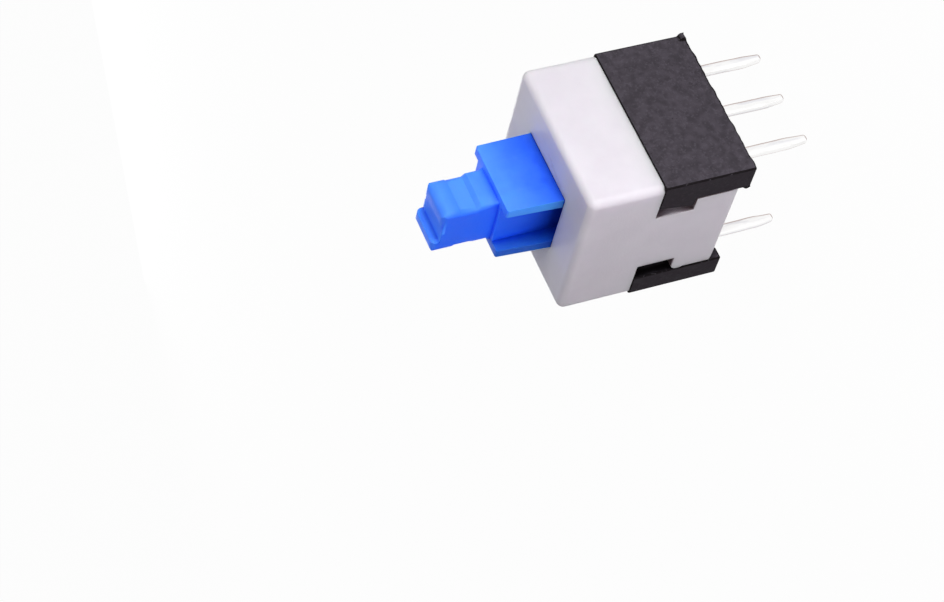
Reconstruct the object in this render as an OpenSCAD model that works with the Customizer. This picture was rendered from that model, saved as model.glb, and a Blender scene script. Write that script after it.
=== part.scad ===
// Latching push button switch, 8.5 mm square, two poles, six pins.
// Millimetres. Z runs along the plunger and Z = 0 is the face that seats on a
// circuit board. Side A is at +X, side B at -X, the upper plate at +Y.

/* [Body] */
// Width and height of the square body
body_w = 8.5; // [8.3:0.1:9.1]
// Distance from the board seat to the front face
body_len = 8.7; // [8.4:0.1:9.4]
// Thickness of the front wall
front_wall = 1.2; // [1:0.1:1.4]
// Thickness of the side walls
side_wall = 0.7; // [0.6:0.05:0.8]
// Rounding of the block's outer edges
edge_round = 0.35; // [0.2:0.05:0.45]
// Gap left at the seams between the mouldings
seam = 0.02; // [0.01:0.01:0.03]

/* [Terminal plates] */
// Length of the black plates, from the seat to the block
plate_len = 4.85; // [4.6:0.05:5.1]
// Thickness of the plates
plate_t = 0.9; // [0.8:0.05:1]
// Height of the plates' flanges over side A
flange_a = 1.4; // [1.25:0.05:1.5]
// Height of the plates' flanges over side B
flange_b = 1.7; // [1.5:0.05:1.8]
// How far the tab hangs below its flange
tab_drop = 0.55; // [0.4:0.05:0.7]
// Thickness of the tab
tab_t = 0.25; // [0.2:0.05:0.35]
// Length of the lip that plugs into the block
lip_len = 0.5; // [0.3:0.1:0.8]
// Thickness of that lip
lip_t = 0.4; // [0.3:0.05:0.5]
// Distance of the lip's ends from the side walls
lip_inset = 0.3; // [0.2:0.05:0.6]
// How much the tab's lower edge rises towards the block
tab_slope = 0.36; // [0.2:0.02:0.45]
// Radius of the gate nubs left on the plates
nub_r = 0.16; // [0.1:0.02:0.22]

/* [Side A wall] */
// Length of the notch and of the window behind the block
notch_len = 2; // [1.6:0.1:2.3]
// Height of the notch and of the window
notch_h = 0.85; // [0.75:0.05:1]
// Height of the rear corner's chamfer
wall_chamfer = 0.5; // [0.3:0.1:0.7]
// Rounding of the upper rear corner
wall_round = 0.18; // [0.1:0.02:0.3]
// Length of the foot behind the window
foot_len = 0.55; // [0.45:0.05:0.7]
// Rounding of the foot's front corner
foot_round = 0.3; // [0.1:0.05:0.35]

/* [Side B frame] */
// Width of the housing's tongue
tongue_w = 1.8; // [1.4:0.1:2.2]
// Length of the tongue behind the block
tongue_len = 1.85; // [1.5:0.05:2.1]
// Width of the rear board's ear
ear_w = 2.3; // [1.9:0.1:2.6]
// Length of the ear in front of the recessed face
ear_len = 0.48; // [0.4:0.02:0.6]

/* [Rear board] */
// How far the board lies inside the seat plane
board_recess = 0.45; // [0.3:0.05:0.6]
// Thickness of the rear board
board_t = 0.85; // [0.7:0.05:1]

/* [Terminals] */
// Pitch of the pins along X
pin_pitch = 2.6; // [2.5:0.05:2.65]
// Width of a pin
pin_w = 0.55; // [0.45:0.05:0.65]
// Thickness of the terminal strip
pin_t = 0.3; // [0.2:0.05:0.35]
// Length of a pin behind the seat
pin_len = 3.75; // [3:0.25:5]
// Length of the narrowing at the pin's end
tip_taper = 1; // [0.6:0.1:1.4]
// Width of the pin at its very end
tip_w = 0.34; // [0.25:0.01:0.4]
// Rounding of the pin's end
pin_round = 0.1; // [0.05:0.01:0.12]
// Width of the blade inside the body
blade_w = 0.9; // [0.8:0.05:1]

/* [Plunger] */
// Width of the block that comes out of the front wall
block_w = 4.16; // [3.9:0.02:4.3]
// Height of that block above the axis
block_top = 2; // [1.9:0.05:2.1]
// Height of that block below the axis
block_bottom = 1.8; // [1.75:0.05:1.9]
// How far the block stands out of the front face at rest
block_out = 2.85; // [2.7:0.05:3.2]
// How much the channel's side of the block draws in towards its front
block_draft = 0.13; // [0:0.01:0.16]
// Depth of the latch channel in the block's side
channel_depth = 0.75; // [0.65:0.05:0.85]
// Height of the channel above the axis
channel_top = 1.42; // [1.38:0.02:1.5]
// Height of the channel below the axis
channel_bottom = 1.25; // [1.22:0.01:1.32]
// Depth of the relief in the block's other side
relief_depth = 0.5; // [0.3:0.05:0.55]
// Length of the carriage's stop ribs
stop_len = 0.5; // [0.4:0.05:0.6]
// Gap behind the plunger at full travel
end_gap = 0.2; // [0.15:0.05:0.3]
// Rounding of the block's front corners
block_round = 0.1; // [0.05:0.05:0.2]
// Gap of the sliding faces
slide_gap = 0.05; // [0.03:0.01:0.08]
// Full travel of the plunger
travel = 2.5; // [2.2:0.1:2.7]
// Travel at which it stays latched
latch_travel = 1.5; // [1.4:0.05:1.6]

/* [Stem] */
// Length of the stem that takes a cap
stem_len = 3.1; // [2.7:0.05:3.5]
// Width of the stem along X
stem_w = 2.2; // [1.8:0.1:2.4]
// Height of the stem's tip along Y
stem_h = 2.8; // [2.5:0.1:3]
// Length of the stem's root
root_len = 0.9; // [0.7:0.05:1.1]
// Length of the stem's tip
tip_len = 1.2; // [1:0.05:1.3]
// How far the tip's lower jaw stands out of the upper one
jaw_step = 0.25; // [0.1:0.05:0.3]
// Step from the neck up to the tip
neck_step = 0.07; // [0.04:0.01:0.12]
// Step from the neck up to the root
root_step = 0.2; // [0.12:0.02:0.26]
// Step from the neck down to the root's underside
root_under = 0.06; // [0.04:0.01:0.12]
// Depth of the slot across the tip
slot_depth = 0.15; // [0.1:0.05:0.3]
// Height of that slot
slot_h = 1.3; // [1:0.1:1.5]
// How far the slot lies above the axis
slot_rise = -0.05; // [-0.15:0.05:0.1]
// Rounding of the tip's upper and lower front edges
tip_round = 0.38; // [0.2:0.02:0.44]
// Rounding of the tip's front edges at its sides
stem_round = 0.3; // [0.1:0.02:0.36]

/* [Latch] */
// Diameter of the latch wire
wire_d = 0.45; // [0.38:0.01:0.48]
// Angle that the latch pin swings through in full travel
latch_swing = 18; // [16:0.5:19]
// Clearance between the wire and its lane
lane_gap = 0.07; // [0.05:0.01:0.09]
// Distance of the pin's pivot from the rear board
pivot_rise = 0.6; // [0.5:0.05:0.7]
// Width of the boss that the pin turns in
boss_w = 1.1; // [1:0.1:1.3]
// Thickness of the wall behind the cam
cam_wall = 0.5; // [0.4:0.05:0.6]
// Room for the leaf spring behind the latch pin
leaf_room = 0.5; // [0.45:0.05:0.55]
// Thickness of that leaf spring
leaf_t = 0.12; // [0.1:0.01:0.15]
// Width of that leaf spring
leaf_w = 1; // [0.8:0.1:1.2]
// Length of that leaf spring, straight
leaf_len = 5.5; // [5:0.1:5.6]

/* [Return spring] */
// Outer diameter of the coil
coil_od = 2.1; // [1.9:0.05:2.2]
// Diameter of the spring wire
coil_wire = 0.2; // [0.16:0.01:0.24]
// Number of turns
coil_turns = 9; // [7:1:11]
// Depth of the spring's bore above the plunger's rear end
coil_bore = 4.6; // [4.2:0.1:4.8]

/* [Contacts] */
// Room between the carriage and the blades
finger_room = 0.6; // [0.55:0.05:0.65]
// Length of a moving contact along the travel
contact_len = 1.5; // [1.3:0.05:1.6]
// Distance of a contact from the plunger's rear end
contact_inset = 0.15; // [0.1:0.05:0.3]
// Radius of the pegs that hold the contacts
peg_r = 0.25; // [0.2:0.01:0.3]
// Thickness of the moving contacts
leaf_contact_t = 0.12; // [0.1:0.01:0.15]
// Width of one contact finger
finger_w = 0.6; // [0.5:0.05:0.7]

/* [Hidden] */

// Body
half = body_w / 2;
plate_in = half - plate_t;            // inner face of a plate
wall_in = half - side_wall;           // inner face of a side wall
cavity_front = body_len - front_wall; // inner face of the front wall
wall_top = half - flange_a - seam;    // upper edge of side A's wall
wall_skew = 0.07;                     // how much lower than that its lower edge lies
wall_low = -wall_top - wall_skew;
foot_drop = 0.06;                     // how far its foot hangs below that
bite = 0.01;                          // overlap of shapes that are joined or cut
flange_low = half + wall_low - foot_drop - seam; // lower plate's flange over side A
frame_top = half - flange_b - seam;   // edges of side B's frame
notch_back = plate_len - notch_len;
board_front = board_recess + board_t;
groove_w = 0.1;                       // groove in the board's rear face
groove_depth = 0.08;
round_fn = 48;
bore_fn = 64;

// Terminals
term_in = plate_in - pin_t;           // contact face of the blades
pin_y = plate_in - pin_t / 2;         // middle of a pin row
blade_end = plate_len - 0.05;
bed_back = 1;                         // where the front blades' bed starts
joggle_back = 1.35;                   // where a front blade starts to bend outwards
joggle_len = 0.4;                     // length of that bend
bed_gap = 0.15;                       // sets the lower plate's tab back in its window

// Plunger, at rest
plunger_back = board_front + travel + end_gap;
block_front = body_len + block_out;
stem_end = block_front + stem_len;
stop_front = cavity_front - slide_gap;
slab_out = term_in - finger_room;     // outer faces of the carriage's slabs
stop_gap = 0.15;                      // between the stop ribs and the blades
stop_out = term_in - stop_gap;        // outer faces of the stop ribs
slab_root = 0.25;                     // how deep the slabs reach into the body
slab_half = wall_in - 2 * slide_gap;
channel_floor = block_w / 2 - channel_depth;
relief_start = 0.3;                   // distance of the relief from the front face

// Moving contacts
contact_back = plunger_back + contact_inset;
contact_front = contact_back + contact_len;
contact_fold = contact_front - contact_len / 10;
contact_w = 2 * pin_pitch + finger_w;
wiper_z = contact_back + contact_len / 4; // where a finger touches its blade
front_zone = wiper_z - latch_travel * 0.6; // where the front blade's zone starts
rear_zone_end = front_zone - pin_t;   // where the rear blade ends
peg_rise = 0.05;                      // how far the pegs stand above the contacts
fold_share = 0.55;                    // height of a finger's fold, of its crest's height
peg_x = pin_pitch / 2;
peg_z = (contact_back + contact_fold) / 2;

// Latch
wire_r = wire_d / 2;
pivot_z = board_front + pivot_rise;
pivot_gap = 0.03;
cam_room = 0.12;                      // between the wire at rest and the cam's rear wall
follow_z = plunger_back + cam_wall + wire_r + cam_room;
latch_r = follow_z - pivot_z;
bridge_x = wall_in - leaf_room;
boss_from = block_w / 2 + 3 * slide_gap;
boss_to = bridge_x - wire_r - lane_gap;
boss_wall = 0.22;                     // in front of the pivot's bore
boss_h = pivot_z - board_front + wire_r + pivot_gap + boss_wall;
lobe_reach = 0.22;                    // height of the lobes over the notch
lobe_w = 0.12;
lobe_round = 0.04;
island_from = 0.24;                   // shares of the travel between which the island
island_to = 0.72;                     // borders the inbound lane
island_back = 0.7;                    // length of its edge at the other side

// Return spring
coil_x = (channel_floor - block_w / 2) / 2;
coil_y = (block_top - block_bottom) / 2;
coil_r = (coil_od - coil_wire) / 2;
coil_gap = 0.12;                      // round the coil, in its bore and on its guide
coil_bore_r = coil_od / 2 + coil_gap;
coil_top = plunger_back + coil_bore - seam;
coil_base = board_front + seam;
guide_h = 0.5;                        // height of the coil's guide on the board
coil_sides = 8;
coil_rings = 16;                      // per turn

// Colours
housing_colour = [0.92, 0.91, 0.95];
plate_colour = [0.16, 0.15, 0.16];
plunger_colour = [0.1, 0.36, 0.95];
tin_colour = [0.83, 0.82, 0.8];
steel_colour = [0.7, 0.7, 0.72];
contact_colour = [0.8, 0.66, 0.42];

// ---------------------------------------------------------------- helpers

// Points of a corner at b, between a and c, rounded to radius r
function unit(v) = v / norm(v);
function corner(a, b, c, r, steps = 6) =
    let (u = unit(a - b), v = unit(c - b),
         half_angle = acos(u * v) / 2,
         centre = b + unit(u + v) * r / sin(half_angle),
         start = b + u * r / tan(half_angle),
         turn = 180 - 2 * half_angle,
         side = sign(u[0] * v[1] - u[1] * v[0]))
    [for (i = [0:steps])
        let (angle = -side * turn * i / steps, arm = start - centre)
        centre + [arm[0] * cos(angle) - arm[1] * sin(angle),
                  arm[0] * sin(angle) + arm[1] * cos(angle)]];

// A polygon whose corner i is rounded to radii[i], or left sharp at 0
function rounded(points, radii) =
    let (n = len(points))
    [for (i = [0:n - 1])
        each (radii[i] > 0
            ? corner(points[(i + n - 1) % n], points[i], points[(i + 1) % n], radii[i])
            : [points[i]])];

// A box from its lowest to its highest corner
module span(low, high) {
    translate(low) cube(high - low);
}

// Extrudes a profile drawn in Y and Z along X, from x0 to x1
module along_x(x0, x1) {
    translate([x0, 0, 0]) rotate([90, 0, 90]) linear_extrude(x1 - x0) children();
}

// Extrudes a profile drawn in X and Z along Y, from y0 to y1
module along_y(y0, y1) {
    translate([0, y1, 0]) rotate([90, 0, 0]) linear_extrude(y1 - y0) children();
}

// A cylinder along X
module rod_x(x0, x1, y, z, r) {
    translate([x0, y, z]) rotate([0, 90, 0]) cylinder(h = x1 - x0, r = r, $fn = bore_fn);
}

// A profile of width w whose front corners have radius r
module front_profile(w, z0, z1, r) {
    union() {
        translate([-w / 2, z0]) square([w, z1 - z0 - r]);
        translate([-w / 2 + r, z0]) square([w - 2 * r, z1 - z0]);
        for (side = [-1, 1])
            translate([side * (w / 2 - r), z1 - r]) circle(r = r, $fn = round_fn);
    }
}

// A square of width w with all corners of radius r
module soft_square(w, r) {
    union() {
        square([w - 2 * r, w], center = true);
        square([w, w - 2 * r], center = true);
        for (sx = [-1, 1], sy = [-1, 1])
            translate([sx * (w / 2 - r), sy * (w / 2 - r)]) circle(r = r, $fn = round_fn);
    }
}

// A strip of thickness t along a path in the plane
module strip(path, t) {
    union() {
        for (i = [0:len(path) - 2]) {
            run = path[i + 1] - path[i];
            translate(path[i]) rotate(atan2(run[1], run[0]))
                translate([0, -t / 2]) square([norm(run), t]);
        }
        for (i = [1:len(path) - 2]) translate(path[i]) circle(d = t, $fn = 24);
    }
}

// ---------------------------------------------------------------- housing

// Front block with three pairs of rounded edges
module block() {
    intersection() {
        translate([0, 0, plate_len]) linear_extrude(body_len - plate_len)
            soft_square(body_w, edge_round);
        along_x(-half, half) front_profile(body_w, plate_len, body_len, edge_round);
        along_y(-half, half) front_profile(body_w, plate_len, body_len, edge_round);
    }
}

// Outline of side A's wall, in Y and Z: foot, window, notch and chamfer
module side_a_outline() {
    foot = notch_back - foot_len;
    front = plate_len + edge_round / 2;
    polygon(rounded([
        [wall_top, board_recess], [wall_top, front],
        [-wall_top + notch_h, front], [-wall_top + notch_h, notch_back],
        [wall_low - foot_drop, notch_back], [wall_low - foot_drop, foot],
        [wall_low, foot - 2 * foot_drop],
        [wall_low, board_recess + wall_chamfer / 2], [-wall_top + wall_chamfer, board_recess]],
        [wall_round, 0, 0, 0, foot_round, foot_drop, 0, wall_round / 2, 0]));
}

module housing() {
    color(housing_colour) difference() {
        union() {
            block();
            along_x(wall_in, half) side_a_outline();
            span([-half, -tongue_w / 2, plate_len - tongue_len],
                [-wall_in, tongue_w / 2, plate_len + edge_round / 2]);
        }
        // room for the mechanism
        span([-wall_in, -plate_in, plate_len - bite], [wall_in, plate_in, cavity_front]);
        // slots for the plates' lips
        span([lip_inset - wall_in, -plate_in - lip_t - seam, plate_len - bite],
            [wall_in - lip_inset, plate_in + lip_t + seam, plate_len + lip_len + seam]);
        // the plunger's opening
        span([-block_w / 2 - slide_gap, -block_bottom - slide_gap, cavity_front - bite],
            [block_w / 2 + slide_gap, block_top + slide_gap, body_len + bite]);
        // notch that the upper plate's tab hangs in
        span([wall_in - bite, wall_top - notch_h, notch_back - seam],
            [half + bite, wall_top + bite, plate_len]);
    }
}

module rear_board() {
    edge = wall_in - seam;
    rim = plate_in - seam;
    color(housing_colour) difference() {
        union() {
            span([-edge, -rim, board_recess], [edge, rim, board_front]);
            // ear that shows at side B
            span([-half, -ear_w / 2, board_recess / 5],
                [-edge + bite, ear_w / 2, board_recess + ear_len]);
            // guide of the return spring
            translate([coil_x, coil_y, board_front - bite])
                cylinder(h = guide_h, r = coil_r - coil_wire / 2 - coil_gap, $fn = round_fn);
            // boss of the latch pin
            span([boss_from, -boss_w / 2, board_front - bite], [boss_to, boss_w / 2, board_front + boss_h]);
        }
        rod_x(boss_from - bite, boss_to + bite, 0, pivot_z, wire_r + pivot_gap);
        // slots of the six blades
        for (turn = [0, 180], column = [-1, 0, 1])
            rotate(turn) span([column * pin_pitch - blade_w / 2 - seam, term_in - seam, 0],
                [column * pin_pitch + blade_w / 2 + seam, half, board_front + bite]);
        // groove along the middle of the rear face
        span([-edge - bite, -groove_w / 2, board_recess - bite],
            [edge + bite, groove_w / 2, board_recess + groove_depth]);
    }
}

// ----------------------------------------------------------------- plates

// A plate at +Y, with the height of its flange over side A, its tab's outer face
// at x = tab_face and the tab's lowest edge
module terminal_plate(flange, tab_face, tab_low) {
    difference() {
        union() {
            span([-half, plate_in, 0], [half, half, plate_len]);
            span([wall_in + seam, half - flange, 0], [half, plate_in + bite, plate_len]);
            span([-half, half - flange_b, 0], [-wall_in - seam, plate_in + bite, plate_len]);
            // lip inside the block
            span([lip_inset - wall_in + seam, plate_in, plate_len - bite],
                [wall_in - lip_inset - seam, plate_in + lip_t, plate_len + lip_len]);
            // tab with a sloping lower edge
            along_x(tab_face - tab_t, tab_face) polygon([
                [half - flange + tab_t, notch_back], [tab_low, notch_back + 4 * seam],
                [tab_low + tab_slope, plate_len - seam], [half - flange + tab_t, plate_len - seam]]);
        }
        // bed of the front blade, where it runs clear of the fingers
        span([-pin_pitch - blade_w / 2 - seam, plate_in - lip_t, bed_back],
            [-pin_pitch + blade_w / 2 + seam, plate_in + pin_t + seam, front_zone + pin_t / 4]);
    }
}

// A gate nub, from x0 to x1
module nub(x0, x1, y, z) {
    along_x(x0, x1) translate([y, z]) circle(r = nub_r, $fn = 24);
}

module upper_terminal_plate() {
    color(plate_colour) union() {
        terminal_plate(flange_a, half, half - flange_a - tab_drop);
        // gate nubs on the rear corners
        nub(wall_in + seam, half - seam, half - flange_a, nub_r);
        nub(-half, -half + 2 * nub_r, half, nub_r);
    }
}

module lower_terminal_plate() {
    color(plate_colour) mirror([0, 1, 0]) union() {
        terminal_plate(flange_low, half - side_wall / 2 - bed_gap, wall_top - notch_h + bed_gap);
        // gate nub on the outer face
        nub(-half + nub_r, -half + 4 * nub_r, half - nub_r / 3, plate_len / 2);
    }
}

// H-shaped web between the plates, notched for the tongue and for the board's ear
module side_frame() {
    tongue = tongue_w / 2 + seam;
    ear = ear_w / 2 + seam;
    front = plate_len - seam;
    tongue_back = plate_len - tongue_len - seam;
    ear_front = board_recess + ear_len + seam;
    color(plate_colour) along_x(-half, -wall_in - seam) polygon([
        [ear, 0], [frame_top, 0], [frame_top, front], [tongue, front],
        [tongue, tongue_back], [-tongue, tongue_back], [-tongue, front],
        [-frame_top, front], [-frame_top, 0], [-ear, 0], [-ear, ear_front], [ear, ear_front]]);
}

// -------------------------------------------------------------- terminals

// Pin outline in X and Z: straight, then narrowing to its round end
module pin_outline() {
    w = pin_w / 2;
    tip = tip_w / 2;
    polygon(rounded([
        [-w, board_recess + pin_t / 2], [-w, tip_taper - pin_len], [-tip, -pin_len],
        [tip, -pin_len], [w, tip_taper - pin_len], [w, board_recess + pin_t / 2]],
        [0, tip_taper, pin_round, pin_round, tip_taper, 0]));
}

// A terminal at +Y: the pin, then a blade along a path in Y and Z
module terminal(column, path) {
    color(tin_colour) translate([column * pin_pitch, 0, 0]) union() {
        along_y(term_in, plate_in) pin_outline();
        along_x(-blade_w / 2, blade_w / 2) strip(path, pin_t);
    }
}

straight_path = [[pin_y, board_recess], [pin_y, blade_end]];
rear_path = [[pin_y, board_recess], [pin_y, rear_zone_end]];
// Joggled into the plate between the board and its zone at the front
front_path = [[pin_y, board_recess], [pin_y, joggle_back], [pin_y + pin_t, joggle_back + joggle_len],
    [pin_y + pin_t, front_zone - joggle_len], [pin_y, front_zone], [pin_y, blade_end]];

module upper_front_terminal() { terminal(-1, front_path); }
module upper_common_terminal() { terminal(0, straight_path); }
module upper_rear_terminal() { terminal(1, rear_path); }
module lower_front_terminal() { mirror([0, 1, 0]) terminal(-1, front_path); }
module lower_common_terminal() { mirror([0, 1, 0]) terminal(0, straight_path); }
module lower_rear_terminal() { mirror([0, 1, 0]) terminal(1, rear_path); }

// Three fingers that fold back over a base that lies on the upper slab
module moving_contact() {
    t = leaf_contact_t;
    low = slab_out + t / 2;
    crest = term_in - seam - t / 2;
    fold_h = (crest - low) * fold_share;
    color(contact_colour) difference() {
        union() {
            span([-contact_w / 2, slab_out, contact_back], [contact_w / 2, slab_out + t, contact_fold]);
            for (column = [-1, 0, 1])
                along_x(column * pin_pitch - finger_w / 2, column * pin_pitch + finger_w / 2)
                    strip([[low, contact_fold], [low + fold_h / 2, contact_front],
                        [low + fold_h, contact_fold], [crest, wiper_z],
                        [crest - fold_h / 2, contact_back + t / 2]], t);
        }
        for (side = [-1, 1])
            translate([side * peg_x, low, peg_z]) rotate([90, 0, 0])
                cylinder(h = 2 * t, r = peg_r + seam, center = true, $fn = bore_fn);
    }
}

module upper_moving_contact() { moving_contact(); }
module lower_moving_contact() { mirror([0, 1, 0]) moving_contact(); }

// ---------------------------------------------------------------- plunger

// Stem in Y and Z: root, neck and tip, with a slot between the tip's two jaws
module stem_outline() {
    tip = stem_h / 2;
    neck = tip - neck_step;
    root = neck + root_step;
    under = neck + root_under;
    base = block_front - channel_depth / 2;
    root_end = block_front + root_len;
    neck_end = stem_end - tip_len;
    upper_end = stem_end - jaw_step;
    slot_low = slot_rise - slot_h / 2;
    slot_high = slot_low + slot_h;
    slot_floor = upper_end - slot_depth;
    slot_round = slot_depth / 2;
    polygon(rounded([
        [-under, base], [root, base], [root, root_end],
        [neck, root_end + root_step], [neck, neck_end], [tip, neck_end + neck_step], [tip, upper_end],
        [slot_high, upper_end], [slot_high, slot_floor],
        [slot_low, slot_floor], [slot_low, stem_end], [-tip, stem_end],
        [-tip, neck_end + neck_step], [-neck, neck_end], [-neck, root_end + neck_step], [-under, root_end]],
        [0, 0, neck_step, neck_step, 0, 0, tip_round, slot_round, 0,
            0, slot_round, tip_round * 0.75, 0, 0, 0, 0]));
}

// Stem in X and Z up to z = end: its front edges rounded at the sides
module stem_plan(end) {
    back = block_front - channel_depth;
    translate([0, back]) front_profile(stem_w, 0, end - back, stem_round);
}

module stem() {
    for (jaw = [[-stem_h, slot_rise, stem_end], [slot_rise, stem_h, stem_end - jaw_step]])
        intersection() {
            along_x(-stem_w / 2, stem_w / 2) stem_outline();
            along_y(jaw[0], jaw[1]) stem_plan(jaw[2]);
        }
}

// Follower's place in the plunger at a share u of full travel: Y, and Z from rest
function lane(u) = [latch_r * sin(u * latch_swing),
    u * travel - latch_r * (1 - cos(u * latch_swing))];
// Edge of the inbound lane beside the island
function lane_edge(u) = let (run = unit(lane(u + 0.01) - lane(u)))
    lane(u) + [-run[1], run[0]] * (wire_r + lane_gap);

// Heart-shaped island in Y and Z, its notch towards the front
module heart() {
    notch_r = wire_r + pivot_gap;
    right = lane_edge(island_to);
    notch = [right[0] - lobe_reach - notch_r - lobe_w / 2, latch_travel];
    left = notch[0] - notch_r - lobe_w - lobe_round;
    translate([0, follow_z]) difference() {
        polygon(rounded([
            lane_edge(island_from), lane_edge((island_from + island_to) / 2), right,
            [right[0] - lobe_w, right[1] + lobe_reach],
            [notch[0] + notch_r, latch_travel + lobe_w], [notch[0] - notch_r, latch_travel + lobe_w],
            [notch[0] - notch_r - pivot_gap, latch_travel + lobe_reach], [left, latch_travel],
            [left, latch_travel - island_back]],
            [0, 0, lobe_round, lobe_round, 0, 0, lobe_round * 0.75, 0, 0]));
        translate(notch) circle(r = notch_r, $fn = bore_fn);
    }
}

// A slab of the carriage from the body at y = from outwards, with its stop rib
module carriage_slab(side, from) {
    inner = min(from, slab_out) - slab_root;
    mirror([0, side > 0 ? 0 : 1, 0]) {
        span([-slab_half, inner, plunger_back], [slab_half, slab_out, stop_front]);
        span([-slab_half, inner, stop_front - stop_len], [slab_half, stop_out, stop_front]);
    }
}

module plunger() {
    x0 = block_w / 2;
    color(plunger_colour) union() {
        difference() {
            union() {
                // body and block
                intersection() {
                    along_y(-block_bottom, block_top) polygon(rounded([
                        [-x0, plunger_back], [x0, plunger_back], [x0, body_len],
                        [x0 - block_draft, block_front], [-x0, block_front],
                        [-x0, body_len]], [0, 0, 0, block_round, block_round, 0]));
                    along_x(-x0, x0) polygon([
                        [-block_bottom, plunger_back], [block_top, plunger_back],
                        [block_top, body_len], [block_top - block_draft / 2, block_front],
                        [block_draft / 2 - block_bottom, block_front], [-block_bottom, body_len]]);
                }
                stem();
                // carriage slabs with their stop ribs
                for (side = [-1, 1]) carriage_slab(side, side > 0 ? block_top : block_bottom);
                // pegs that hold the moving contacts
                for (side = [-1, 1])
                    translate([side * peg_x, 0, peg_z]) rotate([90, 0, 0])
                        cylinder(h = 2 * (slab_out + leaf_contact_t + peg_rise), r = peg_r, center = true,
                            $fn = bore_fn);
            }
            // latch channel, closed behind and open to the front
            span([channel_floor, -channel_bottom, plunger_back + cam_wall],
                [x0 + bite, channel_top, block_front + bite]);
            // relief in the other side, in front of the housing
            span([-x0 - bite, -channel_bottom, body_len + relief_start],
                [relief_depth - x0, channel_top, block_front + bite]);
            // bore of the return spring
            translate([coil_x, coil_y, plunger_back - bite])
                cylinder(h = coil_bore + bite, r = coil_bore_r, $fn = bore_fn);
        }
        along_x(channel_floor - bite, x0 - 2 * slide_gap) heart();
    }
}

// ---------------------------------------------------------- latch, springs

// Bent wire: pivot leg in the board's boss, bridge, and free leg in the cam
module latch_pin() {
    bend = wire_r + cam_room;
    color(steel_colour) union() {
        rod_x(boss_from, bridge_x - bend, 0, pivot_z, wire_r);
        rod_x(channel_floor + 2 * slide_gap, bridge_x - bend, 0, follow_z, wire_r);
        translate([bridge_x, 0, pivot_z + bend])
            cylinder(h = latch_r - 2 * bend, r = wire_r, $fn = bore_fn);
        translate([bridge_x - bend, 0, pivot_z + bend]) rotate([90, 90, 0])
            rotate_extrude(angle = 90, $fn = bore_fn) translate([bend, 0]) circle(r = wire_r, $fn = 24);
        translate([bridge_x - bend, 0, follow_z - bend]) rotate([90, 0, 0])
            rotate_extrude(angle = 90, $fn = bore_fn) translate([bend, 0]) circle(r = wire_r, $fn = 24);
    }
}

// Leaf bowed towards the latch pin, its ends against side A's wall
module latch_spring() {
    from = board_front + 4 * seam;
    to = from + leaf_len;
    rise = leaf_room - wire_r - leaf_t - seam;
    reach = leaf_len / 2;
    bow = reach * reach / (2 * rise) + rise / 2;
    middle = [wall_in - leaf_t - rise + bow, (from + to) / 2];
    color(steel_colour) intersection() {
        along_y(-leaf_w / 2, leaf_w / 2) translate(middle) difference() {
            circle(r = bow, $fn = 180);
            circle(r = bow - leaf_t, $fn = 180);
        }
        span([bridge_x, -leaf_w / 2, from], [wall_in, leaf_w / 2, to]);
    }
}

// Height of the coil at turn t: closed end turns, open between
function coil_height(t) =
    let (closed = coil_wire * 1.1, open = (coil_top - coil_base - coil_wire - 2 * closed) / (coil_turns - 2))
    coil_base + coil_wire / 2 + min(t, 1) * closed
        + min(max(t - 1, 0), coil_turns - 2) * open + max(t - coil_turns + 1, 0) * closed;

module return_spring() {
    last = coil_turns * coil_rings;
    points = [for (i = [0:last], j = [0:coil_sides - 1])
        let (a = 360 * i / coil_rings, b = 360 * j / coil_sides,
             r = coil_r + coil_wire / 2 * cos(b))
        [coil_x + r * cos(a), coil_y + r * sin(a),
         coil_height(i / coil_rings) + coil_wire / 2 * sin(b)]];
    sides = [for (i = [0:last - 1], j = [0:coil_sides - 1])
        let (k = (j + 1) % coil_sides, a = i * coil_sides, b = a + coil_sides)
        [a + j, a + k, b + k, b + j]];
    color(steel_colour) polyhedron(points, concat(sides,
        [[for (j = [0:coil_sides - 1]) coil_sides - 1 - j]],
        [[for (j = [0:coil_sides - 1]) last * coil_sides + j]]), convexity = 10);
}

housing();
rear_board();
upper_terminal_plate();
lower_terminal_plate();
side_frame();
plunger();
upper_front_terminal();
upper_common_terminal();
upper_rear_terminal();
lower_front_terminal();
lower_common_terminal();
lower_rear_terminal();
upper_moving_contact();
lower_moving_contact();
return_spring();
latch_pin();
latch_spring();
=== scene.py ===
"""Looks of a latching push button switch: a white housing, black plates, a blue plunger and tinned pins.

Everything is in metres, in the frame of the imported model: +Z runs along the plunger, +Y is the upper plate
and +X is side A. Sizes written in millimetres are turned into metres by MM.
"""
import math

import bmesh
import bpy
import numpy as np
from mathutils import Matrix, Vector


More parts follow.
